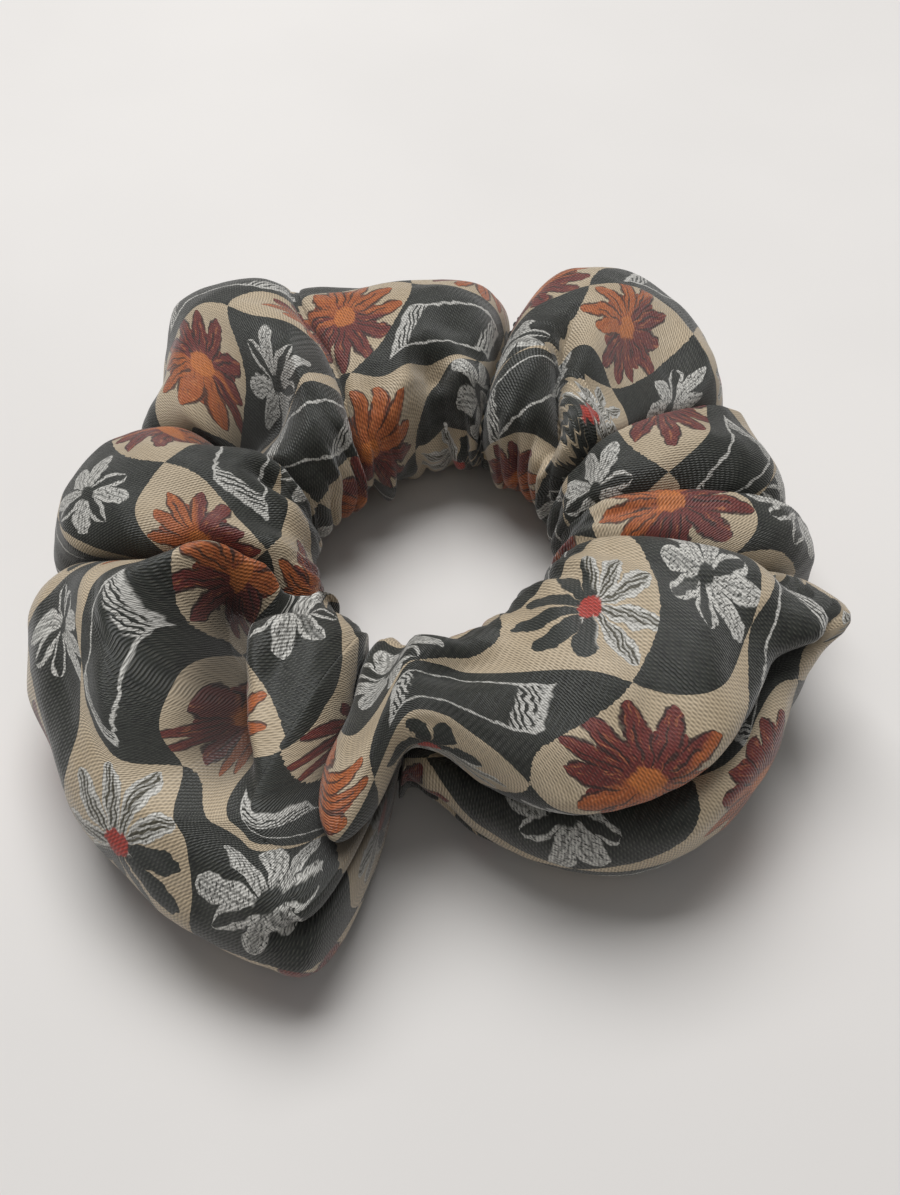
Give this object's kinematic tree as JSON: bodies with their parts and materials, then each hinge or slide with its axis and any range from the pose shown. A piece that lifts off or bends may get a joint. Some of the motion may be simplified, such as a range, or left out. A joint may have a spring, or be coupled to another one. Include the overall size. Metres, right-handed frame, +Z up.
{
  "type": "hair scrunchie",
  "caption": "Hair scrunchie: a gathered ring of printed fabric over sewn elastic, which stretches open round a ponytail and closes again.",
  "frame": {"origin": "middle of the ring's outline, on the surface it lies on", "axes": "+Z up through the ring's hole, away from the surface; the sewn join is on the +Y side and the long flat gathers on the -Y side"},
  "size_m": [0.1124, 0.1144, 0.0309],
  "materials": {
    "sleeve": "printed satin, soft sheen",
    "elastic": "woven elastic, matt",
    "thread": "sewing thread, matt"
  },
  "bodies": {
    "gather_01": {"sleeve_gather_01": "sleeve", "elastic_01": "elastic", "seam_thread_01": "thread", "sleeve_tucked_end": "sleeve", "elastic_lapped_end": "elastic", "elastic_tack": "thread"},
    "gather_02": {"sleeve_gather_02": "sleeve", "elastic_02": "elastic", "seam_thread_02": "thread"},
    "gather_03": {"sleeve_gather_03": "sleeve", "elastic_03": "elastic", "seam_thread_03": "thread"},
    "gather_04": {"sleeve_gather_04": "sleeve", "elastic_04": "elastic", "seam_thread_04": "thread"},
    "gather_05": {"sleeve_gather_05": "sleeve", "elastic_05": "elastic", "seam_thread_05": "thread"},
    "gather_06": {"sleeve_gather_06": "sleeve", "elastic_06": "elastic", "seam_thread_06": "thread"},
    "gather_07": {"sleeve_gather_07": "sleeve", "elastic_07": "elastic", "seam_thread_07": "thread"},
    "gather_08": {"sleeve_gather_08": "sleeve", "elastic_08": "elastic", "seam_thread_08": "thread"},
    "gather_09": {"sleeve_gather_09": "sleeve", "elastic_09": "elastic", "seam_thread_09": "thread"},
    "gather_10": {"sleeve_gather_10": "sleeve", "elastic_10": "elastic", "seam_thread_10": "thread"},
    "gather_11": {"sleeve_gather_11": "sleeve", "elastic_11": "elastic", "seam_thread_11": "thread", "closing_stitches": "thread"}
  },
  "joints": [
    {"name": "stretch", "type": "slide", "parent": "gather_06", "child": "gather_07", "axis": [0.9524, 0.3049, 0], "range_m": [0, 0.01357], "stiffness_N_per_m": 280},
    {"name": "stretch_06_to_05", "type": "slide", "parent": "gather_06", "child": "gather_05", "axis": [-0.967, 0.2546, 0], "range_m": [0, 0.01441], "stiffness_N_per_m": 280},
    {"name": "stretch_05_to_04", "type": "slide", "parent": "gather_05", "child": "gather_04", "axis": [-0.6593, 0.7518, 0], "range_m": [0, 0.01483], "stiffness_N_per_m": 280},
    {"name": "stretch_04_to_03", "type": "slide", "parent": "gather_04", "child": "gather_03", "axis": [-0.1305, 0.9914, 0], "range_m": [0, 0.0142], "stiffness_N_per_m": 280},
    {"name": "stretch_03_to_02", "type": "slide", "parent": "gather_03", "child": "gather_02", "axis": [0.4617, 0.887, 0], "range_m": [0, 0.01587], "stiffness_N_per_m": 280},
    {"name": "stretch_02_to_01", "type": "slide", "parent": "gather_02", "child": "gather_01", "axis": [0.9153, 0.4027, 0], "range_m": [0, 0.01731], "stiffness_N_per_m": 280},
    {"name": "stretch_07_to_08", "type": "slide", "parent": "gather_07", "child": "gather_08", "axis": [0.6561, 0.7547, 0], "range_m": [0, 0.01336], "stiffness_N_per_m": 280},
    {"name": "stretch_08_to_09", "type": "slide", "parent": "gather_08", "child": "gather_09", "axis": [0.2122, 0.9772, 0], "range_m": [0, 0.01146], "stiffness_N_per_m": 280},
    {"name": "stretch_09_to_10", "type": "slide", "parent": "gather_09", "child": "gather_10", "axis": [-0.225, 0.9744, 0], "range_m": [0, 0.0104], "stiffness_N_per_m": 280},
    {"name": "stretch_10_to_11", "type": "slide", "parent": "gather_10", "child": "gather_11", "axis": [-0.6494, 0.7604, 0], "range_m": [0, 0.01336], "stiffness_N_per_m": 280}
  ],
  "couplings": [
    {"joint": "stretch_06_to_05", "follows": "stretch", "ratio": 1.0617},
    {"joint": "stretch_05_to_04", "follows": "stretch", "ratio": 1.0925},
    {"joint": "stretch_04_to_03", "follows": "stretch", "ratio": 1.0463},
    {"joint": "stretch_03_to_02", "follows": "stretch", "ratio": 1.169},
    {"joint": "stretch_02_to_01", "follows": "stretch", "ratio": 1.2751},
    {"joint": "stretch_07_to_08", "follows": "stretch", "ratio": 0.98452},
    {"joint": "stretch_08_to_09", "follows": "stretch", "ratio": 0.84439},
    {"joint": "stretch_09_to_10", "follows": "stretch", "ratio": 0.76596},
    {"joint": "stretch_10_to_11", "follows": "stretch", "ratio": 0.98452}
  ]
}
